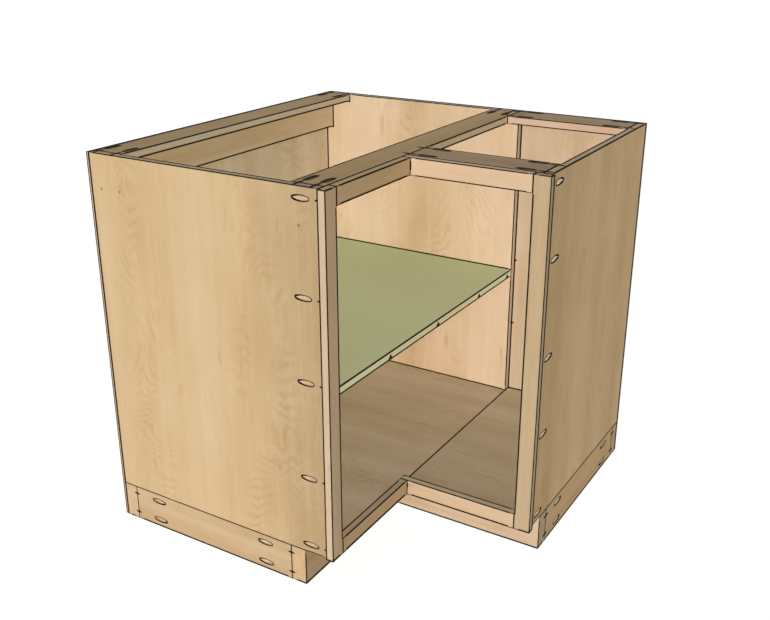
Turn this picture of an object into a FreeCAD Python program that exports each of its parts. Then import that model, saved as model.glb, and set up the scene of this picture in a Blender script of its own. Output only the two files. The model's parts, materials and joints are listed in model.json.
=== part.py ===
import FreeCAD, Part
import math
import os
import re

# Corner base cabinet without its doors and worktop, built from flat boards with pocket screws.
# Millimetres. Reach runs along X from the back wall, width along Y from the open end to the second
# wall, height along Z from the floor. The main box stands against both walls, and the shallower
# return stands beside it, so that the two face frames meet in an inner corner.

dimensions = {
    # Carcass
    "box_width": 914.4,
    "box_reach": 914.4,
    "side_depth": 590.55,
    "cabinet_height": 895.35,
    "board": 19.05,
    "back_thick": 6.35,
    "shelf_top": 469.9,
    "stretcher_width": 76.2,
    "return_stretcher_width": 88.9,
    "cleat_height": 76.2,
    # Face frame
    "stile_width": 38.1,
    "stile_overhang": 6.35,
    "rail_height": 38.1,
    # Base
    "base_height": 88.9,
    "base_thick": 38.1,
    "toe_setback": 76.2,
    # Pocket screws
    "pocket_angle": 15.0,
    "pocket_bore": 9.5,
    "board_exit": 11.1,
    "board_seat": 16.0,
    "board_screw": 31.75,
    "base_seat": 38.1,
    "base_screw": 63.5,
    "shank": 4.2,
    "screw_head": 8.6,
    "head_height": 2.4,
    "point": 5.0,
    "drive_width": 2.8,
    "drive_depth": 1.6,
    "hole_clearance": 0.1,
    "crossing_wood": 1.0,
    # Nails of the thin backs
    "nail": 1.6,
    "nail_length": 22.2,
    # Stile screws of the side panels: above the panel's lower edge, above the shelf, below the top
    "lowest_rise": 19.1,
    "left_rise": 183.0,
    "right_rise": 220.0,
    "shelf_rise": 22.0,
    "left_drop": 222.0,
    "right_drop": 184.0,
    "highest_drop": 23.5,
    # Holes in the shelf's front edge: from the left panel's outer face, and from the wall panel's
    "shelf_hole_near": 259.0,
    "shelf_hole_next": 479.0,
    "shelf_hole_far": 215.0,
    "shelf_hole_last": 44.5,
    # Distances of the screw and nail rows from the ends and edges of their boards
    "stretcher_inset": 12.7,
    "rail_inset": 8.5,
    "runner_inset": 19.05,
    "base_end_inset": 31.75,
    "panel_row_inset": 100.0,
    "joint_row_inset": 60.0,
    "front_rail_row_inset": 70.0,
    "return_rail_row_inset": 80.0,
    "base_row_inset": 120.0,
    "nail_row_inset": 120.0,
}

doc = FreeCAD.newDocument("corner_base_cabinet")
sheet = doc.addObject("Spreadsheet::Sheet", "Dims")
for row, (alias, number) in enumerate(dimensions.items(), start=1):
    sheet.set(f"A{row}", alias)
    sheet.set(f"B{row}", str(number))
    sheet.setAlias(f"B{row}", alias)
doc.recompute()
size = {alias: float(sheet.get(alias)) for alias in dimensions}
size["base_exit"] = size["base_thick"] / 2

# The origin lies under the middle of the whole cabinet, on the floor.
middle = (
    "(box_reach + stile_overhang - back_thick) / 2",
    "(box_width + back_thick - stile_overhang) / 2",
    "0",
)
plus_x, minus_x = ("x", 1), ("x", -1)
plus_y, minus_y = ("y", 1), ("y", -1)
plus_z, minus_z = ("z", 1), ("z", -1)

blanks = {}
pockets = {}
drillings = []
fasteners = {}


def bound(text):
    return re.sub(r"[a-z_]+", lambda word: "Dims." + word[0] if word[0] in dimensions else word[0], text)


def add_board(label, reach, width, height):
    # A plain board between two planes in each direction, measured from the walls and the floor.
    blank = doc.addObject("Part::Box", label + "_blank")
    spans = (reach, width, height)
    for side, (low, high), place, center in zip(("Length", "Width", "Height"), spans, "xyz", middle):
        blank.setExpression(side, bound(f"({high}) - ({low})"))
        blank.setExpression(f"Placement.Base.{place}", bound(f"({low}) - ({center})"))
    blanks[label] = blank
    pockets[label] = []


# Planes that several boards share
box_inner = "box_width - board"
return_inner = "box_reach - board"
return_front = "box_width - side_depth"
frame_face = "side_depth + board"
return_face = "box_width - side_depth - board"
floor_top = "base_height + board"
top_under = "cabinet_height - board"
toe_face = "side_depth + board - toe_setback"
return_toe_face = "box_width - side_depth - board + toe_setback"
left_rail_end = "stile_width - stile_overhang"
right_rail_end = "box_reach + stile_overhang - stile_width"

panel_height = ("base_height", "cabinet_height")
floor_height = ("base_height", floor_top)
stretcher_height = (top_under, "cabinet_height")
top_rail_height = ("cabinet_height - rail_height", "cabinet_height")
bottom_rail_height = ("base_height", "base_height + rail_height")
base_rail_height = ("0", "base_height")
inside_width = ("board", box_inner)
inside_reach = ("side_depth", return_inner)

# Side panels, bottoms, thin backs and shelf
add_board("left_side_panel", ("0", "side_depth"), ("0", "board"), panel_height)
add_board("wall_side_panel", ("0", "side_depth"), (box_inner, "box_width"), panel_height)
add_board("right_side_panel", (return_inner, "box_reach"), (return_front, "box_width"), panel_height)
add_board("main_bottom", ("0", "side_depth"), inside_width, floor_height)
add_board("return_bottom", inside_reach, (return_front, "box_width"), floor_height)
add_board("main_back", ("-back_thick", "0"), ("0", "box_width"), ("0", "cabinet_height"))
add_board("wall_back", ("-back_thick", "box_reach"), ("box_width", "box_width + back_thick"),
          ("0", "cabinet_height"))
add_board("shelf", ("0", "side_depth"), inside_width, ("shelf_top - board", "shelf_top"))

# Stretchers across the top, and the cleat that takes the wall screws
add_board("back_stretcher", ("0", "stretcher_width"), inside_width, stretcher_height)
add_board("center_stretcher", ("side_depth - stretcher_width", "side_depth"), inside_width, stretcher_height)
add_board("return_front_stretcher", inside_reach, (return_front, return_front + " + return_stretcher_width"),
          stretcher_height)
add_board("return_back_stretcher", inside_reach, ("box_width - return_stretcher_width", "box_width"),
          stretcher_height)
add_board("wall_cleat", ("0", "board"), inside_width, (top_under + " - cleat_height", top_under))

# Face frames of the main box and of the return
add_board("left_stile", ("side_depth", frame_face), ("-stile_overhang", left_rail_end), panel_height)
add_board("right_stile", (right_rail_end, "box_reach + stile_overhang"), (return_face, return_front),
          panel_height)
for level, rail_span in (("top", top_rail_height), ("bottom", bottom_rail_height)):
    add_board(f"front_{level}_rail", ("side_depth", frame_face), (left_rail_end, return_face), rail_span)
    add_board(f"return_{level}_rail", ("side_depth", right_rail_end), (return_face, return_front), rail_span)

# Base of planks on edge, set back for the toes
runner_reach = ("base_thick", toe_face + " - base_thick")
wall_rail_width = ("box_width - base_thick", "box_width")
add_board("base_back_rail", ("0", "base_thick"), ("0", "box_width"), base_rail_height)
add_board("base_front_rail", (toe_face + " - base_thick", toe_face), ("0", "box_width"), base_rail_height)
add_board("base_left_runner", runner_reach, ("0", "base_thick"), base_rail_height)
add_board("base_wall_runner", runner_reach, wall_rail_width, base_rail_height)
add_board("base_return_rail", (toe_face, "box_reach"), (return_toe_face, return_toe_face + " + base_thick"),
          base_rail_height)
add_board("base_wall_rail", (toe_face, "box_reach"), wall_rail_width, base_rail_height)
add_board("base_right_runner", ("box_reach - base_thick", "box_reach"),
          (return_toe_face + " + base_thick", "box_width - base_thick"), base_rail_height)
doc.recompute()


def span_of(label, axis):
    box = blanks[label].Shape.BoundBox
    return {"x": (box.XMin, box.XMax), "y": (box.YMin, box.YMax), "z": (box.ZMin, box.ZMax)}[axis]


def side_of(label, direction):
    low, high = span_of(label, direction[0])
    return high if direction[1] > 0 else low


def arrow(direction):
    axis, sign = direction
    return FreeCAD.Vector(*(sign if axis == letter else 0 for letter in "xyz"))


def third_axis(first, second):
    return next(letter for letter in "xyz" if letter not in (first, second))


def both_edges(label, axis, inset):
    low, high = span_of(label, axis)
    return [low + inset, high - inset]


def spread(label, axis, count, inset):
    first, last = both_edges(label, axis, inset)
    return [first + (last - first) * step / (count - 1) for step in range(count)]


def add_bore(label, radius, length, start, line):
    bore = doc.addObject("Part::Cylinder", label)
    bore.setExpression("Radius", bound(radius))
    bore.setExpression("Height", bound(length))
    bore.Placement = FreeCAD.Placement(start, FreeCAD.Rotation(arrow(plus_z), line))
    return bore


def add_pockets(label, edge, face, stations, group, stock="board"):
    # Slanted screw pockets: bored from one face of a board, leaving it through the middle of an edge.
    angle = math.radians(size["pocket_angle"])
    line = arrow(edge) * math.cos(angle) - arrow(face) * math.sin(angle)
    along = third_axis(edge[0], face[0])
    depth = {"board": "board_exit", "base": "base_thick / 2"}[stock]
    mouth = f"{depth} / sin(pocket_angle) + pocket_bore / tan(pocket_angle) - {stock}_seat"
    for station in stations:
        leave = {
            edge[0]: side_of(label, edge),
            face[0]: side_of(label, face) - face[1] * size[f"{stock}_exit"],
            along: station,
        }
        seat = FreeCAD.Vector(leave["x"], leave["y"], leave["z"]) - line * size[f"{stock}_seat"]
        pockets[label].append(add_bore(label + "_pocket", "pocket_bore / 2", mouth, seat, -line))
        hole = add_bore(label + "_hole", "shank / 2 + hole_clearance", f"{stock}_screw + hole_clearance",
                        seat, line)
        drillings.append(hole)
        if group:
            fasteners.setdefault((group, stock), []).append(hole.Placement)


def add_nails(label, into, target, along, count, inset):
    # A row of nails through a thin back into the middle of the board behind it.
    across = third_axis(into[0], along)
    opposite = (into[0], -into[1])
    for station in spread(target, along, count, inset):
        start = {
            into[0]: side_of(label, opposite),
            along: station,
            across: sum(span_of(target, across)) / 2,
        }
        hole = add_bore(label + "_hole", "nail / 2 + hole_clearance", "nail_length + hole_clearance",
                        FreeCAD.Vector(start["x"], start["y"], start["z"]), arrow(into))
        drillings.append(hole)
        fasteners.setdefault(("back_nails", "nail"), []).append(hole.Placement)


# Heights of the stile screws on a side panel
def stile_heights(hand):
    panel_low, panel_top = span_of("left_side_panel", "z")
    return [
        panel_low + size["lowest_rise"],
        panel_low + size[f"{hand}_rise"],
        size["shelf_top"] + size["shelf_rise"],
        panel_top - size[f"{hand}_drop"],
        panel_top - size["highest_drop"],
    ]


# Side panels to stiles; the wall side panel is bored alike, and its holes stay empty
add_pockets("left_side_panel", plus_x, minus_y, stile_heights("left"), "stile_screws")
add_pockets("right_side_panel", minus_y, plus_x, stile_heights("right"), "stile_screws")
add_pockets("wall_side_panel", plus_x, plus_y, stile_heights("right"), None)

# Stretchers and cleat to the panels; the screws of the center stretcher pass behind the points of
# those that come through the wall panel's front edge
screw_reach = (size["board_screw"] - size["board_seat"]) * math.cos(math.radians(size["pocket_angle"]))
center_inset = screw_reach + size["shank"] / 2 + 2 * size["hole_clearance"] + size["crossing_wood"]
for name, inset in (("back_stretcher", size["stretcher_inset"]), ("center_stretcher", center_inset)):
    for end in (minus_y, plus_y):
        add_pockets(name, end, plus_z, both_edges(name, "x", inset), "stretcher_screws")
for name in ("return_front_stretcher", "return_back_stretcher"):
    for end in (minus_x, plus_x):
        add_pockets(name, end, plus_z, both_edges(name, "y", size["stretcher_inset"]), "stretcher_screws")
for end in (minus_y, plus_y):
    add_pockets("wall_cleat", end, minus_x, both_edges("wall_cleat", "z", size["stretcher_inset"]),
                "cleat_screws")

# Bottoms to the panels, to each other and to the bottom rails
for end in (minus_y, plus_y):
    add_pockets("main_bottom", end, minus_z, spread("main_bottom", "x", 4, size["panel_row_inset"]),
                "bottom_screws")
add_pockets("main_bottom", plus_x, minus_z, spread("return_bottom", "y", 4, size["joint_row_inset"]),
            "bottom_screws")
front_places = spread("front_bottom_rail", "y", 2, size["front_rail_row_inset"])
return_places = spread("return_bottom_rail", "x", 2, size["return_rail_row_inset"])
add_pockets("main_bottom", plus_x, minus_z, front_places, "bottom_screws")
add_pockets("return_bottom", plus_x, minus_z, spread("return_bottom", "y", 3, size["panel_row_inset"]),
            "bottom_screws")
add_pockets("return_bottom", minus_y, minus_z, return_places, "bottom_screws")

# Shelf to the panels, with empty holes along its front edge for a later extension
for end in (minus_y, plus_y):
    add_pockets("shelf", end, minus_z, spread("shelf", "x", 3, size["panel_row_inset"]), "shelf_screws")
left_face = side_of("left_side_panel", minus_y)
wall_face = side_of("wall_side_panel", plus_y)
shelf_places = [
    left_face + size["shelf_hole_near"],
    left_face + size["shelf_hole_next"],
    wall_face - size["shelf_hole_far"],
    wall_face - size["shelf_hole_last"],
]
add_pockets("shelf", plus_x, minus_z, shelf_places, None)

# Rails to stiles, and the front rails to the return rails
for level in ("top", "bottom"):
    front_rail = f"front_{level}_rail"
    return_rail = f"return_{level}_rail"
    heights = both_edges(front_rail, "z", size["rail_inset"])
    for end in (minus_y, plus_y):
        add_pockets(front_rail, end, minus_x, heights, "frame_screws")
    add_pockets(return_rail, plus_x, plus_y, heights, "frame_screws")

# Base planks to each other
for runner, outside, ends in (("base_left_runner", minus_y, (minus_x, plus_x)),
                              ("base_wall_runner", plus_y, (minus_x, plus_x)),
                              ("base_right_runner", plus_x, (minus_y, plus_y))):
    heights = both_edges(runner, "z", size["runner_inset"])
    for end in ends:
        add_pockets(runner, end, outside, heights, "base_screws", "base")
for rail, inside in (("base_return_rail", plus_y), ("base_wall_rail", minus_y)):
    heights = both_edges(rail, "z", size["base_end_inset"])
    add_pockets(rail, minus_x, inside, heights, "base_screws", "base")

# Base planks up into the bottoms
for rail, inside, along, count in (("base_back_rail", plus_x, "y", 3),
                                   ("base_front_rail", minus_x, "y", 3),
                                   ("base_return_rail", plus_y, "x", 2),
                                   ("base_wall_rail", minus_y, "x", 2)):
    add_pockets(rail, plus_z, inside, spread(rail, along, count, size["base_row_inset"]), "base_top_screws")

# Thin backs to the edges behind them
for target, along, count in (("left_side_panel", "z", 4), ("wall_side_panel", "z", 4),
                             ("back_stretcher", "y", 3), ("main_bottom", "y", 3),
                             ("shelf", "y", 3), ("base_back_rail", "y", 3)):
    add_nails("main_back", plus_x, target, along, count, size["nail_row_inset"])
for target, along, count in (("right_side_panel", "z", 4), ("wall_side_panel", "z", 3),
                             ("return_back_stretcher", "x", 2), ("return_bottom", "x", 2),
                             ("base_wall_rail", "x", 2), ("base_wall_runner", "x", 2)):
    add_nails("wall_back", minus_y, target, along, count, size["nail_row_inset"])
doc.recompute()


def add_cut(label, base, bores):
    tools = doc.addObject("Part::Compound", label + "_bores")
    tools.Links = bores
    cut = doc.addObject("Part::Cut", label)
    cut.Base = base
    cut.Tool = tools
    return cut


def crosses(blank, bore):
    # True where a bore takes wood out of a board.
    if not blank.Shape.BoundBox.intersect(bore.Shape.BoundBox):
        return False
    return blank.Shape.common(bore.Shape).Volume > 0.001


# Each board is cut by its own pockets, then by every screw and nail hole that passes through it.
subparts = []
for label, blank in blanks.items():
    solid = blank
    if pockets[label]:
        solid = add_cut(label + "_pocketed", solid, pockets[label])
    holes = [hole for hole in drillings if crosses(blank, hole)]
    if holes:
        solid = add_cut(label + "_drilled", solid, holes)
    solid.Label = label
    subparts.append(solid)


def screw_shape(length):
    # A flat washer head behind the seat, a plain shank, a point, and a square drive in the head.
    head = size["screw_head"] / 2
    shank = size["shank"] / 2
    outline = [
        (0, -size["head_height"]), (head, -size["head_height"]), (head, 0), (shank, 0),
        (shank, length - size["point"]), (0, length), (0, -size["head_height"]),
    ]
    profile = Part.Face(Part.makePolygon([FreeCAD.Vector(radius, 0, place) for radius, place in outline]))
    screw = profile.revolve(FreeCAD.Vector(0, 0, 0), arrow(plus_z), 360)
    drive = size["drive_width"]
    recess = Part.makeBox(drive, drive, size["drive_depth"],
                          FreeCAD.Vector(-drive / 2, -drive / 2, -size["head_height"]))
    return screw.cut(recess)


shapes = {
    "board": screw_shape(size["board_screw"]),
    "base": screw_shape(size["base_screw"]),
    "nail": Part.makeCylinder(size["nail"] / 2, size["nail_length"]),
}
for (group, kind), places in fasteners.items():
    feature = doc.addObject("Part::Feature", group)
    solids = []
    for place in places:
        copy = shapes[kind].copy()
        copy.Placement = place
        solids.append(copy)
    feature.Shape = Part.makeCompound(solids)
    feature.Placement = FreeCAD.Placement()
    feature.Label = group
    subparts.append(feature)
doc.recompute()

failed = [thing.Label for thing in doc.Objects if {"Invalid", "Error"} & set(thing.State)]
if failed:
    raise RuntimeError("not recomputed: " + ", ".join(failed))
for part in subparts:
    if part.Shape.isNull() or not part.Shape.isValid():
        raise RuntimeError("bad shape: " + part.Label)
    if part.Label in blanks and len(part.Shape.Solids) != 1:
        raise RuntimeError("board in pieces: " + part.Label)

os.makedirs("parts", exist_ok=True)
for part in subparts:
    part.Shape.exportStep(f"parts/{part.Label}.step")
    print(part.Label, len(part.Shape.Solids), round(part.Shape.Volume))
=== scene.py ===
import bpy
import json
import math
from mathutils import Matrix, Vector

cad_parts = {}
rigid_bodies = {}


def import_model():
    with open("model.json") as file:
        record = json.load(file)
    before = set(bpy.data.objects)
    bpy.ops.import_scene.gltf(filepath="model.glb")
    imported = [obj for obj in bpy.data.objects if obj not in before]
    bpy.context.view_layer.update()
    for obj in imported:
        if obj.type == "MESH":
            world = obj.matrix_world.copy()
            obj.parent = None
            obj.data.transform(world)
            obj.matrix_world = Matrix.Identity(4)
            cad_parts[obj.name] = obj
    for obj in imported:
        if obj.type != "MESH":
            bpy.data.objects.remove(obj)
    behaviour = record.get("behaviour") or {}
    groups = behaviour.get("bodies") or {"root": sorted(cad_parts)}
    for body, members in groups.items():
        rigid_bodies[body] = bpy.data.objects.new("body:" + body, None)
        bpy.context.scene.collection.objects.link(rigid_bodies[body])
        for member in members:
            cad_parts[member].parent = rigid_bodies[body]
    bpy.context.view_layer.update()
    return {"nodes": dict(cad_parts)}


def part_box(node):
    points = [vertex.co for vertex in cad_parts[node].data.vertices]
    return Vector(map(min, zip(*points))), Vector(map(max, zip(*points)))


for leftover in list(bpy.data.objects):
    bpy.data.objects.remove(leftover)

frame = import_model()        # the cabinet's boards and fasteners at their real size
nodes = frame["nodes"]
boardNames = [name for name in nodes if not name.endswith(("_screws", "_nails"))]
print("cabinet loaded:", len(nodes), "nodes")


# Node tools: each returns the socket that carries its result
class Bench:
    def __init__(self, tree):
        self.tree = tree

    def put(self, kind, **settings):
        node = self.tree.nodes.new(kind)
        for name, value in settings.items():
            setattr(node, name, value)
        return node

    def feed(self, socket, value):        # a socket is linked, anything else is set
        if isinstance(value, bpy.types.NodeSocket):
            self.tree.links.new(value, socket)
        else:
            socket.default_value = value

    def place(self):        # in metres, in the cabinet's own frame
        return self.put("ShaderNodeTexCoord").outputs["Object"]

    def trueNormal(self):        # of the face itself, before any relief
        return self.put("ShaderNodeNewGeometry").outputs["True Normal"]

    def calc(self, operation, first, second=0.0, third=0.0, clamp=False):
        node = self.put("ShaderNodeMath", operation=operation, use_clamp=clamp)
        for socket, value in zip(node.inputs, (first, second, third)):
            self.feed(socket, value)
        return node.outputs[0]

    def vector(self, operation, first, second=(0.0, 0.0, 0.0)):
        node = self.put("ShaderNodeVectorMath", operation=operation)
        self.feed(node.inputs[0], first)
        self.feed(node.inputs[1], second)
        return node.outputs["Value" if operation in ("LENGTH", "DISTANCE", "DOT_PRODUCT") else "Vector"]

    def split(self, value):
        node = self.put("ShaderNodeSeparateXYZ")
        self.feed(node.inputs[0], value)
        return dict(zip("xyz", node.outputs))

    def join(self, x, y, z):
        node = self.put("ShaderNodeCombineXYZ")
        for socket, value in zip(node.inputs, (x, y, z)):
            self.feed(socket, value)
        return node.outputs[0]

    def ofThree(self, operation, value):        # the least or the most of a vector's parts
        parts = self.split(value)
        return self.calc(operation, self.calc(operation, parts["x"], parts["y"]), parts["z"])

    def noise(self, place, stretch, detail=2.0, roughness=0.5, distortion=0.0):
        node = self.put("ShaderNodeTexNoise", noise_dimensions="3D")
        self.feed(node.inputs["Vector"], self.vector("MULTIPLY", place, stretch))
        self.feed(node.inputs["Scale"], 1.0)
        self.feed(node.inputs["Detail"], detail)
        self.feed(node.inputs["Roughness"], roughness)
        self.feed(node.inputs["Distortion"], distortion)
        return node.outputs["Fac"]

    def sway(self, place, stretch, amount, **options):        # noise about zero, times an amount
        aboutZero = self.calc("SUBTRACT", self.noise(place, stretch, **options), 0.5)
        return self.calc("MULTIPLY", aboutZero, amount)

    def rise(self, value, low, high):        # a smooth step from 0 at low to 1 at high
        node = self.put("ShaderNodeMapRange", interpolation_type="SMOOTHSTEP")
        self.feed(node.inputs["Value"], value)
        self.feed(node.inputs["From Min"], low)
        self.feed(node.inputs["From Max"], high)
        return node.outputs["Result"]

    def fall(self, value, low, high):
        return self.calc("SUBTRACT", 1.0, self.rise(value, low, high))

    def mix(self, share, first, second, blend="MIX"):
        node = self.put("ShaderNodeMix", data_type="RGBA", blend_type=blend)
        self.feed(node.inputs["Factor"], share)
        self.feed(node.inputs[6], first)
        self.feed(node.inputs[7], second)
        return node.outputs[2]

    def tinted(self, colour, tint):
        return self.mix(1.0, colour, opaque(tint), "MULTIPLY")

    def ramp(self, share, stops):
        node = self.put("ShaderNodeValToRGB")
        elements = node.color_ramp.elements
        while len(elements) < len(stops):
            elements.new(0.5)
        for element, (spot, colour) in zip(elements, stops):
            element.position = spot
            element.color = opaque(colour)
        self.feed(node.inputs["Fac"], share)
        return node.outputs["Color"]

    def greys(self, share, stops):
        return self.ramp(share, [(spot, (grey, grey, grey)) for spot, grey in stops])


def opaque(colour):
    return (*colour, 1.0)


def newMaterial(name):
    material = bpy.data.materials.new(name)
    material.use_nodes = True
    tree = material.node_tree
    tree.nodes.clear()
    return material, Bench(tree)


def finishShader(bench, colour, roughness, relief, reliefDepth, specular, metallic=0.0, flat=True):
    shader = bench.put("ShaderNodeBsdfPrincipled")
    bump = bench.put("ShaderNodeBump")
    if flat:        # boards are shaded by their true faces
        bench.feed(bump.inputs["Normal"], bench.trueNormal())
    bench.feed(bump.inputs["Height"], relief)
    bench.feed(bump.inputs["Strength"], 1.0)
    bench.feed(bump.inputs["Distance"], reliefDepth)
    bench.feed(shader.inputs["Base Color"], colour)
    bench.feed(shader.inputs["Roughness"], roughness)
    bench.feed(shader.inputs["Metallic"], metallic)
    bench.feed(shader.inputs["Specular IOR Level"], specular)
    bench.feed(shader.inputs["Normal"], bump.outputs["Normal"])
    output = bench.put("ShaderNodeOutputMaterial")
    bench.feed(output.inputs["Surface"], shader.outputs["BSDF"])


# The dark line that every arris, every joint and every hole's rim carries
arris = {
    "colour": (0.012, 0.008, 0.005),
    "wide": 0.0027,        # on a free arris or in a corner
    "thinWide": 0.0030,        # on a thin back
    "narrow": 0.0014,        # on each side of a flush joint
    "narrowFloor": 0.0010,        # on each side of the joint between the bottoms
    # on a board whose face is flush with the edge of a thin back, for faces along x, y and z
    "besideBack": (0.0070, 0.0042, 0.0062),
    "joint": (0.011, 0.0132),        # so near to an edge and to another board a joint is flush
    "endSharpness": 6.0,        # how soon that ends past the other board's end
    "notFlush": (0.0007, 0.0014),        # a step that is still flush, and one that isn't
    "spread": (1.5, 1.0, 2.1),        # wider on the faces that look along x and z
    "railSpread": (1.5, 1.0, 1.5),        # less so on the tops of the bottom rails
    "thinLow": (1.0, 1.7, 1.0),        # finer towards the open end, the front and the top
    "thinHigh": (1.7, 1.0, 1.7),
    "thinFloor": (1.0, 1.7, 0.6),        # and wider along the floor and over the toe space
    "softness": 0.0003,
    "waver": (160.0, 160.0, 160.0),
    "unevenness": 0.0003,
    "rim": (0.00105, 0.00195),        # full so far from a rim, and gone there
    "rimOut": 0.0008,        # the rim's line lies a little outside the bore
    "rimSunk": 3.0,        # and ends this much sooner down the bore
    "tick": (0.0090, 0.0028, 0.0065),        # where a screw draws a joint together: along it, across it, deep
    "shelfTick": (0.0050, 0.0045, 0.0110),        # where a spare hole of the shelf ends
    "tickFade": (0.75, 1.15),        # shares of a tick's size
    "touch": 0.0002,
    "boreStart": (0.00004, 0.00012),        # deeper than this under the faces is inside a hole
    "rubWidth": 0.009,        # handling has dulled the wood beside an edge
    "rubDepth": 0.08,
    "rubPatches": (30.0, 30.0, 30.0),
    "rubPatchy": (0.35, 0.65),
}
# Boards with a fineness of their own, from their low and high ends:
# a stile's line is wider where it stands proud
ownFineness = {
    "left_stile": ((0.75, 1.7, 0.6), (1.7, 0.8, 1.7)),
    "right_stile": ((0.75, 1.7, 0.6), (1.7, 0.55, 1.7)),
    "wall_side_panel": ((1.0, 1.4, 1.0), (1.4, 0.8, 1.7)),
}
pocketMouth = {
    "flat": 0.00001,        # points so near to a face lie on it
    "near": 0.020,        # points so near to each other belong to one hole
    "least": 0.003,        # a mouth's half width is more than this
    "deep": 1.0,        # half size along the facing, so great that depth hardly counts
}
farAway = 9.0        # further than any board reaches
# How squarely a face has to look along a way: from not at all to fully
turned = {"sheet": (0.3, 0.6), "strip": (0.5, 0.8), "shelf": (0.2, 0.5)}


def spanOf(name, letter):        # where a board starts and stops along x, y or z
    low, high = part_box(name)
    way = "xyz".index(letter)
    return low[way], high[way]


# Where a point lies on its board: how far from the nearest edge, and how deep in a bored hole
def boardPlaces(bench, name):
    low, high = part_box(name)
    place = bench.place()
    lowest = low[2] < arris["touch"] or name.endswith("_bottom_rail")
    usual = (arris["thinFloor" if lowest else "thinLow"], arris["thinHigh"])
    thinLow, thinHigh = ownFineness.get(name, usual)
    fromLow = bench.vector("MULTIPLY", bench.vector("SUBTRACT", place, tuple(low)), thinLow)
    fromHigh = bench.vector("MULTIPLY", bench.vector("SUBTRACT", tuple(high), place), thinHigh)
    gaps = bench.split(bench.vector("MINIMUM", fromLow, fromHigh))
    least = bench.calc("MINIMUM", gaps["x"], gaps["y"])
    most = bench.calc("MAXIMUM", gaps["x"], gaps["y"])
    edge = bench.calc("MAXIMUM", least, bench.calc("MINIMUM", most, gaps["z"]))
    depth = bench.calc("MINIMUM", least, gaps["z"])
    return place, edge, depth


# Oval mouths of the bored pockets on a board's faces: middle, half size and the way each one faces
def findMouths(name):
    low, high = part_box(name)
    flat = pocketMouth["flat"]
    found = []
    for axis in range(3):
        rest = [other for other in range(3) if other != axis]
        for plane in (low[axis], high[axis]):
            points = [vertex.co for vertex in nodes[name].data.vertices
                      if abs(vertex.co[axis] - plane) < flat
                      and all(low[way] + flat < vertex.co[way] < high[way] - flat for way in rest)]
            for group in groupPoints(points):
                start = Vector([min(point[way] for point in group) for way in range(3)])
                stop = Vector([max(point[way] for point in group) for way in range(3)])
                half = (stop - start) / 2
                if min(half[way] for way in rest) > pocketMouth["least"]:
                    half[axis] = pocketMouth["deep"]
                    facing = tuple(float(way == axis) for way in range(3))
                    found.append(((start + stop) / 2, half, facing))
    return found


def groupPoints(points):        # points that lie near each other, one list for each hole
    groups = []
    for point in points:
        touching = [group for group in groups
                    if any((point - other).length < pocketMouth["near"] for other in group)]
        merged = [point] + [other for group in touching for other in group]
        groups = [group for group in groups if group not in touching] + [merged]
    return groups


def findNeighbours(name):        # name, middle and half size of every board that touches this one
    low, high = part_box(name)
    touch = arris["touch"]
    found = []
    for other in boardNames:
        if other == name:
            continue
        start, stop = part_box(other)
        if all(start[way] < high[way] + touch and stop[way] > low[way] - touch for way in range(3)):
            middle = (Vector(start) + Vector(stop)) / 2
            half = (Vector(stop) - Vector(start)) / 2
            found.append((other, middle, half))
    return found


def tickBeside(name, middle, half, facing):        # on the joint that a pocket's screw draws together
    low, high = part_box(name)
    out = facing.index(1.0)
    along = max((way for way in range(3) if way != out), key=lambda way: half[way])
    spot = list(middle)
    spot[along] = min((low[along], high[along]), key=lambda end: abs(end - middle[along]))
    length, width, deep = arris["shelfTick" if name == "shelf" else "tick"]
    size = [width * arris["spread"][out]] * 3
    size[along] = length * arris["spread"][out]
    size[out] = deep
    return spot, size


def ticksOn(name):        # from the pockets of this board and of its neighbours
    low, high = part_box(name)
    touch = arris["touch"]
    return [(spot, size) for spot, size in allTicks
            if all(low[way] - touch < spot[way] < high[way] + touch for way in range(3))]


allMouths = {name: findMouths(name) for name in boardNames}
allTicks = [tickBeside(name, *mouth) for name, mouths in allMouths.items() for mouth in mouths]
print("pocket mouths found:", len(allTicks))


def pastLine(bench, distance, width, waver):        # how far a point lies past a line of that width
    return bench.calc("SUBTRACT", bench.calc("ADD", distance, waver), width)


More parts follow.
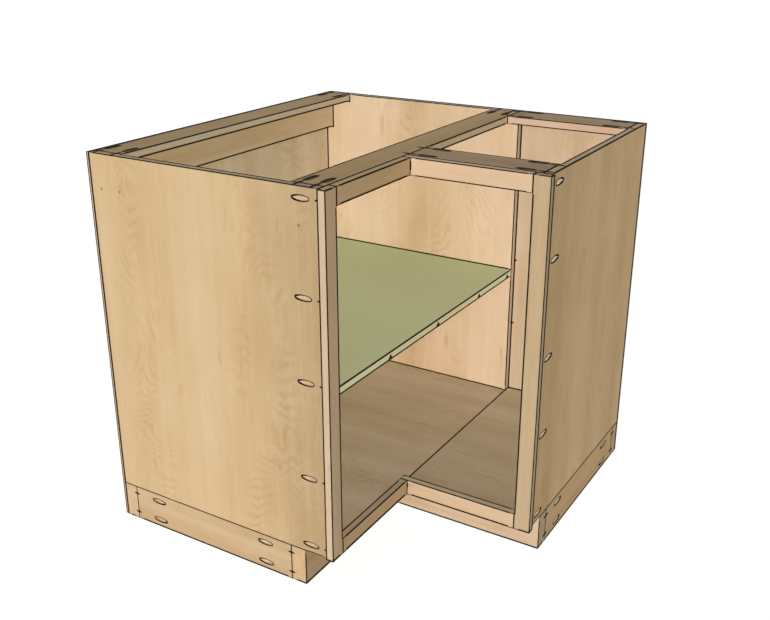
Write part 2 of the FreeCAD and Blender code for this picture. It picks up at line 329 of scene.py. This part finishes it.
def edgeLine(bench, name, place, edge, facing, spread):        # along the arrises and the joints
    waver = bench.sway(place, arris["waver"], arris["unevenness"])
    joint, beside, over = farAway, farAway, farAway
    for other, middle, half in findNeighbours(name):
        gaps = bench.vector("ABSOLUTE", bench.vector("SUBTRACT", place, tuple(middle)))
        gaps = bench.vector("SUBTRACT", gaps, tuple(half))
        outside = bench.vector("MAXIMUM", gaps)
        beyond = bench.vector("LENGTH", outside)
        if name.endswith("_stile"):        # where a stile stands proud, its joint isn't flush
            proud = bench.vector("DOT_PRODUCT", facing, outside)
            beyond = bench.calc("ADD", beyond, bench.rise(proud, *arris["notFlush"]))
        joint = bench.calc("MINIMUM", joint, beyond)
        # a joint is flush only straight beside the other board, not past its end
        most = bench.ofThree("MAXIMUM", outside)
        pastEnd = bench.calc("SUBTRACT", bench.vector("DOT_PRODUCT", outside, (1.0, 1.0, 1.0)), most)
        straight = bench.calc("MULTIPLY_ADD", pastEnd, arris["endSharpness"], beyond)
        beside = bench.calc("MINIMUM", beside, straight)
        if other.endswith("_back") and not name.endswith("_back"):
            level = bench.ofThree("MINIMUM", bench.vector("ABSOLUTE", gaps))
            beyond = bench.calc("ADD", beyond, bench.rise(level, *arris["notFlush"]))
            width = bench.vector("DOT_PRODUCT", facing, arris["besideBack"])
            over = bench.calc("MINIMUM", over, pastLine(bench, beyond, width, waver))
    flush = bench.fall(bench.calc("MAXIMUM", beside, edge), *arris["joint"])
    narrow = arris["narrowFloor"] if name.endswith("_bottom") else arris["narrow"]
    width = bench.calc("MULTIPLY_ADD", flush, narrow - arris["wide"], arris["wide"])
    nearest = bench.calc("MINIMUM", joint, edge)
    if name.endswith("_back"):        # its edge keeps a pale strip beside the board it closes
        width = arris["thinWide"]
        thin = boards[name][2]
        start, stop = spanOf(name, thin)
        wallSide = start if start < 0.0 else stop
        fromWall = bench.calc("ABSOLUTE", bench.calc("SUBTRACT", bench.split(place)[thin], wallSide))
        onEdge = bench.fall(bench.split(facing)[thin], *turned["sheet"])
        nearest = bench.calc("MULTIPLY_ADD", onEdge, bench.calc("SUBTRACT", fromWall, nearest), nearest)
    over = bench.calc("MINIMUM", over, pastLine(bench, nearest, bench.calc("MULTIPLY", spread, width), waver))
    return bench.fall(over, -arris["softness"], arris["softness"])


def rimLine(bench, name, place, spread):        # round the mouths of the pockets
    nearest = farAway
    for middle, half, outward in allMouths[name]:
        # distance to the oval: its level, over the level's slope
        offset = bench.vector("SUBTRACT", place, tuple(middle))
        sunk = bench.vector("DOT_PRODUCT", offset, [arris["rimSunk"] * part for part in outward])
        offset = bench.vector("DIVIDE", offset, tuple(half))
        level = bench.vector("LENGTH", offset)
        slope = bench.vector("LENGTH", bench.vector("DIVIDE", offset, tuple(half)))
        away = bench.calc("MULTIPLY", level, bench.calc("SUBTRACT", level, 1.0))
        away = bench.calc("SUBTRACT", bench.calc("DIVIDE", away, slope), arris["rimOut"])
        away = bench.calc("MAXIMUM", bench.calc("ABSOLUTE", away), bench.calc("ABSOLUTE", sunk))
        nearest = bench.calc("MINIMUM", nearest, away)
    return bench.fall(bench.calc("DIVIDE", nearest, spread), *arris["rim"])


def tickLine(bench, ticks, place):        # short marks across the joints
    nearest = farAway
    for spot, size in ticks:
        level = bench.vector("DIVIDE", bench.vector("SUBTRACT", place, spot), size)
        nearest = bench.calc("MINIMUM", nearest, bench.vector("LENGTH", level))
    return bench.fall(nearest, *arris["tickFade"])


def arrisMasks(bench, name, place, edge, depth):
    facing = bench.vector("ABSOLUTE", bench.trueNormal())
    spread = arris["railSpread" if name.endswith("_bottom_rail") else "spread"]
    spread = bench.vector("DOT_PRODUCT", facing, spread)
    line = edgeLine(bench, name, place, edge, facing, spread)
    if allMouths[name]:
        line = bench.calc("MAXIMUM", line, rimLine(bench, name, place, spread))
    ticks = ticksOn(name)
    if ticks:
        line = bench.calc("MAXIMUM", line, tickLine(bench, ticks, place))
    inHole = bench.rise(depth, *arris["boreStart"])
    patchy = bench.rise(bench.noise(place, arris["rubPatches"], detail=3.0), *arris["rubPatchy"])
    rub = bench.calc("MULTIPLY", bench.fall(edge, 0.0, arris["rubWidth"]), patchy)
    return line, inHole, rub


# Wood: rotary-cut maple veneer on the sheets, maple strips on the frames, softwood planks in the base
mapleSheet = {
    "stops": ((0.12, (0.565, 0.375, 0.190)), (0.50, (0.690, 0.480, 0.268)), (0.88, (0.775, 0.570, 0.360))),
    "swirl": (3.0, 6.0, 6.0),        # stretch along the grain, across it and through the board
    "bend": 0.42,        # how far the rings wander
    "rise": 1.0,        # how fast they follow each other along the grain
    "rings": 31.0,
    "ringDepth": 0.25,
    "zones": (0.35, 4.6, 2.0),
    "bands": (0.15, 13.0, 4.0),
    "bandDepth": 0.9,
    "streaks": (1.2, 95.0, 95.0),
    "streakDepth": 0.34,
    "blotch": (5.0, 12.0, 12.0),
    "blotchDepth": 0.68,
    "fibre": (16.0, 620.0, 620.0),
    "fibreDepth": 0.24,
    "plies": 7,
    "roughness": 0.68,
    "relief": 0.00010,
    "bore": (0.74, 0.55, 0.35),        # the paler wood inside a bored pocket, made paler still as painted light against the shade in the hole
}
mapleStrip = dict(mapleSheet, **{
    "swirl": (0.8, 9.0, 9.0),
    "bend": 1.0,
    "rise": 0.0,
    "rings": 7.0,
    "ringDepth": 0.16,
    "bands": (0.6, 26.0, 26.0),
    "bandDepth": 0.6,
    "blotchDepth": 0.55,
    "plies": 0,
    "bore": (0.13, 0.09, 0.055),        # painted shade darkens the strips' pockets
})
basePlank = dict(mapleStrip, **{
    "swirl": (1.1, 7.0, 7.0),
    "rings": 10.0,
    "ringDepth": 0.24,
    "roughness": 0.74,
    "bore": mapleSheet["bore"],
})
thinBack = dict(mapleSheet, plies=3, roughness=0.72)
wood = {
    "cut": (3.7, 1.9, 0.8),        # from one board to the next in the log
    "fineSwirl": (14.0, 60.0, 60.0),        # small waves along each ring
    "fineBend": 0.036,
    "ringSharpness": 2.2,
    "patches": (0.38, 0.62),        # rings are faint below and strong above, where no zones are set
    "breaks": (5.0, 13.0, 13.0),        # here and there a ring fades out
    "broken": (0.42, 0.70),
    "bandShare": 0.35,        # what is left of the chance bands where stripes are set
    "flecks": (9.0, 40.0, 40.0),
    "fleckSize": (0.66, 0.80),
    "fleck": (0.90, 0.80, 0.72),
    "crossPly": (0.21, 0.29),
    "plyShade": 0.80,
    "edgeShadeTint": (0.95, 1.06, 1.25),        # a sheet's edges are painted greyer than its faces, as painted light and shade against the warm bounced light
    "heart": 0.06,        # the log's heart lies so far off a strip's middle
    "endSwirl": (40.0, 40.0, 40.0),
    "endBend": 0.004,
    "endRing": 0.0042,        # from one growth ring to the next on a strip's end
    "endDepth": 0.10,
    "knot": (0.10, 0.055, 0.028),
    "knotCore": 0.00105,
    "knotSize": 0.0021,
    "knotHalo": 0.006,
    "haloDepth": 0.22,
    "boreGrain": (900.0, 900.0, 900.0),
    "boreShade": 0.9,
    "sheen": (20.0, 60.0, 60.0),
    "sheenDepth": 0.16,
    "lineRoughness": 0.2,
    "blotchRelief": 0.4,
    "specular": 0.14,
}

# For each board: its finish, the way its grain runs, its thin way, and its tint, which is partly the wood's
# tone and partly painted light and shade
untinted = (1.00, 1.00, 1.00)
# the stretchers' tint is partly painted light and shade
stretcherShadeTint = (1.01, 1.26, 1.60)
boards = {
    "left_side_panel": (mapleSheet, "z", "y", (0.99, 1.00, 0.955)),
    "wall_side_panel": (mapleSheet, "z", "y", (1.05, 1.11, 1.28)),
    "right_side_panel": (mapleSheet, "z", "x", (1.09, 1.08, 1.00)),
    "main_bottom": (mapleSheet, "x", "z", (0.85, 1.04, 1.44)),
    "return_bottom": (mapleSheet, "x", "z", (0.79, 1.00, 1.36)),
    "main_back": (thinBack, "z", "x", (1.13, 1.37, 1.80)),
    "wall_back": (thinBack, "z", "y", (0.95, 1.06, 1.32)),
    "back_stretcher": (mapleStrip, "y", "z", stretcherShadeTint),
    "center_stretcher": (mapleStrip, "y", "z", stretcherShadeTint),
    "return_front_stretcher": (mapleStrip, "x", "z", (0.90, 0.92, 1.06)),
    "return_back_stretcher": (mapleStrip, "x", "z", (0.97, 0.99, 1.24)),
    "wall_cleat": (mapleStrip, "y", "x", (1.04, 1.22, 1.45)),
    "left_stile": (mapleStrip, "z", "x", (0.98, 1.01, 1.13)),
    "right_stile": (mapleStrip, "z", "y", (0.85, 0.90, 0.96)),
    "front_top_rail": (mapleStrip, "y", "x", (0.94, 0.94, 0.90)),
    "return_top_rail": (mapleStrip, "x", "y", (1.12, 1.16, 1.34)),
    "front_bottom_rail": (mapleStrip, "y", "x", (0.86, 0.88, 0.86)),
    "return_bottom_rail": (mapleStrip, "x", "y", (1.08, 1.12, 1.30)),
    "base_back_rail": (basePlank, "y", "x", untinted),
    "base_front_rail": (basePlank, "y", "x", (0.94, 0.96, 1.00)),
    "base_left_runner": (basePlank, "x", "y", (0.94, 0.96, 1.00)),
    "base_wall_runner": (basePlank, "x", "y", untinted),
    "base_return_rail": (basePlank, "x", "y", (1.02, 1.08, 1.30)),
    "base_wall_rail": (basePlank, "x", "y", untinted),
    "base_right_runner": (basePlank, "y", "x", (1.00, 1.00, 0.94)),
}
# Tints of single faces that differ from the rest of their board: painted light and shade, mostly darker tops
# and lighter or darker sides
paintedFaceShades = {
    "back_stretcher": {"z": (0.77, 0.76, 0.67)},
    "center_stretcher": {"z": (0.79, 0.78, 0.70)},
    "return_front_stretcher": {"z": (0.67, 0.68, 0.70)},
    "return_back_stretcher": {"z": (0.72, 0.74, 0.77)},
    "front_bottom_rail": {"z": (0.74, 0.85, 1.08)},
    "return_bottom_rail": {"z": (0.88, 1.12, 1.45)},
    "left_stile": {"y": (1.03, 1.11, 1.34)},
    "base_back_rail": {"y": (1.09, 1.09, 1.13)},
    "base_front_rail": {"y": (1.06, 1.04, 1.03)},
    "base_return_rail": {"x": (0.83, 0.88, 0.98)},
}
# Boards whose bores are painted paler than the others', as painted light against the shade in the hole
paintedLitBores = {"right_side_panel": (0.95, 0.80, 0.60), "base_right_runner": (0.86, 0.72, 0.52)}
pinKnots = {
    "left_side_panel": ((-0.4277, 0.8190), (-0.3756, 0.8190), (0.0868, 0.8185)),        # reach and height
}
# Paler and deeper stripes across a sheet, as shares of its width
stripes = {
    "left_side_panel": ((0.0, 0.66), (0.17, 0.53), (0.46, 0.66), (0.70, 0.51), (0.92, 0.20), (1.0, 0.16)),
    "right_side_panel": ((0.0, 0.24), (0.12, 0.32), (0.30, 0.47), (0.46, 0.68), (0.56, 0.48), (0.70, 0.58),
                         (0.86, 0.46), (1.0, 0.56)),
    "wall_side_panel": ((0.0, 0.60), (0.12, 0.64), (0.29, 0.72), (0.50, 0.24), (0.67, 0.50), (0.84, 0.74),
                        (1.0, 0.72)),
}
# Where a sheet turns greyer towards its front edge: from one share of its width to another
frontCasts = {"left_side_panel": (0.60, 1.00, (0.955, 0.975, 1.07))}
# How strongly a sheet's rings show across its width
ringZones = {
    "left_side_panel": ((0.0, 0.25), (0.10, 0.95), (0.26, 0.95), (0.38, 0.12), (0.52, 0.10), (0.66, 0.90),
                        (0.86, 1.0), (1.0, 0.45)),
}


# Growth rings: contour lines of a slow field, strong in some patches and faint in others
def growthRings(bench, name, along, local, share):
    finish = boards[name][0]
    field = bench.sway(local, finish["swirl"], finish["bend"], detail=2.5, roughness=0.5, distortion=0.5)
    field = bench.calc("MULTIPLY_ADD", along, finish["rise"], field)
    field = bench.calc("ADD", field, bench.sway(local, wood["fineSwirl"], wood["fineBend"], detail=3.0))
    wave = bench.calc("SINE", bench.calc("MULTIPLY", field, 2.0 * math.pi * finish["rings"]))
    wave = bench.calc("POWER", bench.calc("MULTIPLY_ADD", wave, 0.5, 0.5), wood["ringSharpness"])
    if name in ringZones:
        patch = bench.greys(share, ringZones[name])
    else:
        patch = bench.rise(bench.noise(local, finish["zones"], detail=1.0), *wood["patches"])
    broken = bench.rise(bench.noise(local, wood["breaks"], detail=2.0), *wood["broken"])
    rings = bench.calc("MULTIPLY", bench.calc("MULTIPLY", wave, patch), broken)
    return bench.calc("MULTIPLY", rings, finish["ringDepth"])


# Bare wood before any tint, and the relief that can be felt on it
def woodFigure(bench, name, local, share, rings):
    finish = boards[name][0]
    fibre = bench.sway(local, finish["fibre"], finish["fibreDepth"], detail=3.0)
    blotch = bench.sway(local, finish["blotch"], finish["blotchDepth"], detail=4.0)
    bands = bench.sway(local, finish["bands"], finish["bandDepth"], detail=2.0)
    if name in stripes:
        stripe = bench.calc("SUBTRACT", bench.greys(share, stripes[name]), 0.5)
        bands = bench.calc("ADD", bench.calc("MULTIPLY", bands, wood["bandShare"]), stripe)
    streaks = bench.sway(local, finish["streaks"], finish["streakDepth"], detail=3.0, roughness=0.6)
    figure = bench.calc("ADD", bench.calc("ADD", bands, blotch), bench.calc("ADD", fibre, streaks))
    figure = bench.calc("SUBTRACT", bench.calc("ADD", figure, 0.5), rings)
    bare = bench.ramp(figure, finish["stops"])
    fleck = bench.rise(bench.noise(local, wood["flecks"], detail=2.5), *wood["fleckSize"])
    bare = bench.mix(fleck, bare, bench.tinted(bare, wood["fleck"]))
    relief = bench.calc("ADD", fibre, bench.calc("MULTIPLY", blotch, wood["blotchRelief"]))
    return bare, bench.calc("SUBTRACT", relief, rings)


# Tints a board, partly with its tone and partly with painted light and shade
def tintAndShadeWood(bench, name, bare, normal, share):
    finish, grain, thin, tint = boards[name]
    colour = bench.tinted(bare, tint)
    if name in frontCasts:
        start, stop, cast = frontCasts[name]
        colour = bench.mix(bench.rise(share, start, stop), colour, bench.tinted(colour, cast))
    # painted light and shade on single faces, such as darker tops
    for way, paintedFaceShade in paintedFaceShades.get(name, {}).items():
        onFace = bench.rise(bench.calc("ABSOLUTE", normal[way]), *turned["strip"])
        colour = bench.mix(onFace, colour, bench.tinted(bare, paintedFaceShade))
    if finish is thinBack:        # only the inside of a back is tinted; that tint is partly painted light and shade
        inward = 1.0 if spanOf(name, thin)[0] < 0.0 else -1.0
        inside = bench.rise(bench.calc("MULTIPLY", normal[thin], inward), *turned["sheet"])
        colour = bench.mix(inside, bare, colour)
    return colour


def showPlies(bench, name, colour, normal, ways):        # on a sheet's edges
    finish, grain, thin, tint = boards[name]
    start, stop = spanOf(name, thin)
    pairs = finish["plies"] / (stop - start) / 2        # pairs of plies in a metre
    layer = bench.calc("MULTIPLY", bench.calc("SUBTRACT", ways[thin], start), pairs)
    crossPly = bench.rise(bench.calc("PINGPONG", layer, 0.5), *wood["crossPly"])
    onEdge = bench.fall(bench.calc("ABSOLUTE", normal[thin]), *turned["sheet"])
    # painted light and shade on a sheet's edges
    colour = bench.mix(onEdge, colour, bench.tinted(colour, wood["edgeShadeTint"]))
    shaded = bench.tinted(colour, [wood["plyShade"]] * 3)
    return bench.mix(bench.calc("MULTIPLY", crossPly, onEdge), colour, shaded)


def showEndGrain(bench, name, colour, normal, place):        # on a strip's ends
    grain = boards[name][1]
    low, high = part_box(name)
    middle = (Vector(low) + Vector(high)) / 2
    heart = [part - wood["heart"] for part in middle]
    heart["xyz".index(grain)] = 0.0
    flatPlace = bench.vector("MULTIPLY", place, [float(letter != grain) for letter in "xyz"])
    radius = bench.vector("DISTANCE", flatPlace, heart)
    radius = bench.calc("ADD", radius, bench.sway(place, wood["endSwirl"], wood["endBend"]))
    endRings = bench.calc("SINE", bench.calc("MULTIPLY", radius, 2.0 * math.pi / wood["endRing"]))
    endRings = bench.calc("MULTIPLY", bench.calc("MULTIPLY_ADD", endRings, 0.5, 0.5), wood["endDepth"])
    onEnd = bench.rise(bench.calc("ABSOLUTE", normal[grain]), *turned["strip"])
    return bench.mix(bench.calc("MULTIPLY", onEnd, endRings), colour, opaque(wood["knot"]))


def addPinKnots(bench, name, colour, place):
    for reach, height in pinKnots.get(name, ()):
        flatPlace = bench.vector("MULTIPLY", place, (1.0, 0.0, 1.0))
        away = bench.vector("DISTANCE", flatPlace, (reach, 0.0, height))
        halo = bench.calc("MULTIPLY", bench.fall(away, wood["knotSize"], wood["knotHalo"]), wood["haloDepth"])
        colour = bench.mix(halo, colour, opaque(wood["knot"]))
        core = bench.fall(away, wood["knotCore"], wood["knotSize"])
        colour = bench.mix(core, colour, opaque(wood["knot"]))
    return colour


def woodMaterial(name, order):
    finish, grain, thin, tint = boards[name]
    across = next(letter for letter in "xyz" if letter not in (grain, thin))
    material, bench = newMaterial(name + "_wood")
    place, edge, depth = boardPlaces(bench, name)
    ways = bench.split(place)
    normal = bench.split(bench.trueNormal())
    shift = [order * step for step in wood["cut"]]        # every board is cut from another part of the log
    local = bench.vector("ADD", bench.join(ways[grain], ways[across], ways[thin]), shift)
    start, stop = spanOf(name, across)
    share = bench.calc("DIVIDE", bench.calc("SUBTRACT", ways[across], start), stop - start)

    rings = growthRings(bench, name, ways[grain], local, share)
    bare, relief = woodFigure(bench, name, local, share, rings)
    colour = tintAndShadeWood(bench, name, bare, normal, share)
    if finish["plies"]:
        colour = showPlies(bench, name, colour, normal, ways)
    else:
        colour = showEndGrain(bench, name, colour, normal, place)
    colour = addPinKnots(bench, name, colour, place)

    line, inHole, rub = arrisMasks(bench, name, place, edge, depth)
    # a bore's colour: painted light in the pale bores, painted shade in the strips' dark ones
    bore = paintedLitBores.get(name, finish["bore"])
    shadedBore = [wood["boreShade"] * part for part in bore]
    drilled = bench.mix(bench.noise(place, wood["boreGrain"]), opaque(shadedBore), opaque(bore))
    colour = bench.mix(inHole, colour, drilled)
    colour = bench.mix(bench.calc("MULTIPLY", rub, arris["rubDepth"]), colour, opaque(arris["colour"]))
    colour = bench.mix(line, colour, opaque(arris["colour"]))

    sheen = bench.sway(local, wood["sheen"], wood["sheenDepth"], detail=3.0)
    roughness = bench.calc("ADD", finish["roughness"], sheen)
    roughness = bench.calc("ADD", roughness, bench.calc("MULTIPLY", line, wood["lineRoughness"]), clamp=True)
    finishShader(bench, colour, roughness, relief, finish["relief"], wood["specular"])
    return material


# Green paint of the shelf, rolled on over a sanded sheet
greenPaint = {
    "colour": (0.575, 0.670, 0.410),        # towards the wall, darker as painted shade
    "paintedLit": (0.710, 0.795, 0.480),        # towards the open end, paler as painted light
    "paintedLightSpan": (0.45, -0.05),        # where the painted light starts and where it is full, along y
    "clouds": (3.0, 3.0, 3.0),
    "cloudy": (0.3, 0.7),
    "cloudOnLight": (0.12, 0.94),        # how much clouds change the painted light, and its least
    "cloudRoughness": 0.08,
    "edge": (0.970, 0.975, 0.630),        # of the upright edges, at the open end and at the wall; both are painted light and shade
    "wallEdge": (0.760, 0.910, 0.730),
    # painted shade inside the shelf's holes, near black
    "bore": (0.030, 0.025, 0.018),
    "roughness": 0.62,
    "roller": (700.0, 700.0, 700.0),        # the nap's stipple
    "stipple": 0.00006,
    "stippleDepth": 0.08,
    "stippleShade": 0.8,
    "rubShare": 0.5,        # paint dulls less than bare wood
    "specular": 0.16,
}


def paintMaterial(name):
    material, bench = newMaterial(name + "_paint")
    place, edge, depth = boardPlaces(bench, name)
    alongShelf = bench.split(place)["y"]
    cloud = bench.rise(bench.noise(place, greenPaint["clouds"], detail=3.0), *greenPaint["cloudy"])
    stipple = bench.noise(place, greenPaint["roller"], detail=2.0)
    lightStart, lightFull = greenPaint["paintedLightSpan"]
    # painted shade towards the wall and painted light towards the open end
    paintedShade = bench.rise(alongShelf, lightFull, lightStart)
    paintedLight = bench.calc("MULTIPLY_ADD", cloud, *greenPaint["cloudOnLight"])
    paintedLight = bench.calc("SUBTRACT", paintedLight, paintedShade, clamp=True)
    colour = bench.mix(paintedLight, opaque(greenPaint["colour"]), opaque(greenPaint["paintedLit"]))
    shaded = [greenPaint["stippleShade"] * part for part in greenPaint["colour"]]
    colour = bench.mix(bench.calc("MULTIPLY", stipple, greenPaint["stippleDepth"]), colour, opaque(shaded))
    upward = bench.calc("ABSOLUTE", bench.split(bench.trueNormal())["z"])
    towardsWall = bench.rise(alongShelf, *spanOf(name, "y"))
    # the upright edges get painted light and shade, changing towards the wall
    paintedEdgeLight = bench.mix(towardsWall, opaque(greenPaint["edge"]), opaque(greenPaint["wallEdge"]))
    colour = bench.mix(bench.fall(upward, *turned["shelf"]), colour, paintedEdgeLight)
    line, inHole, rub = arrisMasks(bench, name, place, edge, depth)
    # the shelf's holes get painted shade
    colour = bench.mix(inHole, colour, opaque(greenPaint["bore"]))
    rub = bench.calc("MULTIPLY", rub, greenPaint["rubShare"] * arris["rubDepth"])
    colour = bench.mix(rub, colour, opaque(arris["colour"]))
    colour = bench.mix(line, colour, opaque(arris["colour"]))
    patchy = bench.calc("MULTIPLY", cloud, greenPaint["cloudRoughness"])
    roughness = bench.calc("ADD", greenPaint["roughness"], patchy)
    finishShader(bench, colour, roughness, stipple, greenPaint["stipple"], greenPaint["specular"])
    return material


# Zinc of the screws and bright wire of the nails
zincScrew = {
    "colour": (0.62, 0.60, 0.55),
    "dull": (0.34, 0.33, 0.30),
    "roughness": 0.34,
}
brightNail = {
    "colour": (0.56, 0.56, 0.57),
    "dull": (0.30, 0.29, 0.28),
    "roughness": 0.30,
}
metal = {
    "clouds": (240.0, 240.0, 240.0),        # dull patches
    "cloudy": (0.35, 0.7),
    "cloudRoughness": 0.22,
    "scratches": (2600.0, 2600.0, 500.0),
    "relief": 0.00002,
    "specular": 0.5,
}


def metalMaterial(name, finish):
    material, bench = newMaterial(name)
    place = bench.place()
    cloud = bench.rise(bench.noise(place, metal["clouds"], detail=4.0), *metal["cloudy"])
    scratch = bench.noise(place, metal["scratches"], detail=2.0)
    colour = bench.mix(cloud, opaque(finish["colour"]), opaque(finish["dull"]))
    roughness = bench.calc("ADD", finish["roughness"], bench.calc("MULTIPLY", cloud, metal["cloudRoughness"]))
    finishShader(bench, colour, roughness, scratch, metal["relief"], metal["specular"],
                 metallic=1.0, flat=False)
    return material


# A real arris on every board, small enough to be felt rather than seen
easedEdge = {
    "weld": 0.00001,
    "width": 0.0006,
    "segments": 1,
    "sharpest": math.radians(9),        # edges that turn less than this stay as they are
    "flat": math.radians(1),        # faces that turn less than this become one
}


def easeEdges(board):
    weld = board.modifiers.new("weld", "WELD")
    weld.merge_threshold = easedEdge["weld"]
    flatten = board.modifiers.new("flatten", "DECIMATE")
    flatten.decimate_type = "DISSOLVE"
    flatten.angle_limit = easedEdge["flat"]
    ease = board.modifiers.new("ease", "BEVEL")
    ease.width = easedEdge["width"]
    ease.segments = easedEdge["segments"]
    ease.limit_method = "ANGLE"
    ease.angle_limit = easedEdge["sharpest"]
    ease.use_clamp_overlap = False


def dress(node, material):
    node.data.materials.clear()
    node.data.materials.append(material)


for order, name in enumerate(boards):
    dress(nodes[name], woodMaterial(name, order))
    easeEdges(nodes[name])
print("wooden boards finished:", len(boards))

dress(nodes["shelf"], paintMaterial("shelf"))
easeEdges(nodes["shelf"])
print("shelf painted")

screwZinc = metalMaterial("screw_zinc", zincScrew)
nailWire = metalMaterial("nail_wire", brightNail)
for name, node in nodes.items():
    if name.endswith("_screws"):
        dress(node, screwZinc)
    elif name.endswith("_nails"):
        dress(node, nailWire)
print("screws and nails finished")


# Studio: an even sky, a weak key lamp with shadows, four fills without, and a white floor
studio = {
    "sky": 0.22,
    "lamps": (
        # name, azimuth, elevation, strength, softness in degrees, casts shadows
        ("keyLamp", 12.0, 6.0, 0.14, 40.0, True),
        ("frontFill", 0.0, 0.0, 0.60, 10.0, False),
        ("sideFill", 90.0, 0.0, 0.17, 10.0, False),
        ("topFill", 0.0, 90.0, 0.17, 10.0, False),
        ("backFill", 212.0, 0.0, 0.45, 10.0, False),
    ),
    "floorSize": 60.0,
    "floorColour": (0.80, 0.80, 0.80),
    "floorWhite": 0.70,
}


def lookedAt(bench):        # 1 for rays from the camera, a mirror or glass, 0 for light on the object
    path = bench.put("ShaderNodeLightPath")
    seen = bench.calc("MAXIMUM", path.outputs["Is Camera Ray"], path.outputs["Is Glossy Ray"])
    return bench.calc("MAXIMUM", seen, path.outputs["Is Transmission Ray"])


def setSky():
    world = bpy.data.worlds.new("studio_sky")
    world.use_nodes = True
    world.node_tree.nodes.clear()
    bench = Bench(world.node_tree)
    background = bench.put("ShaderNodeBackground")
    bench.feed(background.inputs["Color"], (1.0, 1.0, 1.0, 1.0))
    lift = bench.calc("MULTIPLY", lookedAt(bench), 1.0 - studio["sky"])
    bench.feed(background.inputs["Strength"], bench.calc("ADD", lift, studio["sky"]))
    output = bench.put("ShaderNodeOutputWorld")
    bench.feed(output.inputs["Surface"], background.outputs["Background"])
    bpy.context.scene.world = world


def setLamp(name, azimuth, elevation, strength, softness, shadows):
    lamp = bpy.data.lights.new(name, "SUN")
    lamp.energy = strength * math.pi
    lamp.angle = math.radians(softness)
    lamp.use_shadow = shadows
    holder = bpy.data.objects.new(name, lamp)
    holder.visible_glossy = False        # the lamps leave no glare on the tops
    turn, tilt = math.radians(azimuth), math.radians(elevation)
    towards = Vector((math.sin(turn) * math.cos(tilt), -math.cos(turn) * math.cos(tilt), math.sin(tilt)))
    holder.rotation_euler = towards.to_track_quat("Z", "Y").to_euler()
    bpy.context.scene.collection.objects.link(holder)


def setFloor():
    half = studio["floorSize"] / 2
    corners = [(-half, -half, 0.0), (half, -half, 0.0), (half, half, 0.0), (-half, half, 0.0)]
    mesh = bpy.data.meshes.new("studio_floor")
    mesh.from_pydata(corners, [], [(0, 1, 2, 3)])
    floor = bpy.data.objects.new("studio_floor", mesh)
    bpy.context.scene.collection.objects.link(floor)
    material, bench = newMaterial("floor_white")
    paper = bench.put("ShaderNodeBsdfDiffuse")
    bench.feed(paper.inputs["Color"], opaque(studio["floorColour"]))
    glow = bench.put("ShaderNodeEmission")
    bench.feed(glow.inputs["Strength"], bench.calc("MULTIPLY", lookedAt(bench), studio["floorWhite"]))
    both = bench.put("ShaderNodeAddShader")
    bench.feed(both.inputs[0], paper.outputs[0])
    bench.feed(both.inputs[1], glow.outputs[0])
    output = bench.put("ShaderNodeOutputMaterial")
    bench.feed(output.inputs["Surface"], both.outputs[0])
    mesh.materials.append(material)


setSky()
for lampSettings in studio["lamps"]:
    setLamp(*lampSettings)
setFloor()
print("studio set")


# Camera at the picture's viewing angle
viewpoint = {
    "eye": (1.1409, -1.8875, 1.3526),
    "aim": (-0.0847, 0.1392, 0.4092),
    "focalPixels": 983.2,
    "imageWidth": 770,
    "sensorWidth": 36.0,
}


def setCamera():
    lens = bpy.data.cameras.new("viewCamera")
    lens.sensor_fit = "HORIZONTAL"
    lens.sensor_width = viewpoint["sensorWidth"]
    lens.lens = viewpoint["sensorWidth"] * viewpoint["focalPixels"] / viewpoint["imageWidth"]
    holder = bpy.data.objects.new("viewCamera", lens)
    holder.location = viewpoint["eye"]
    ahead = Vector(viewpoint["aim"]) - Vector(viewpoint["eye"])
    holder.rotation_euler = ahead.to_track_quat("-Z", "Y").to_euler()
    bpy.context.scene.collection.objects.link(holder)
    bpy.context.scene.camera = holder


setCamera()
bpy.context.scene.view_settings.view_transform = "Standard"
print("camera set")

bpy.context.view_layer.update()
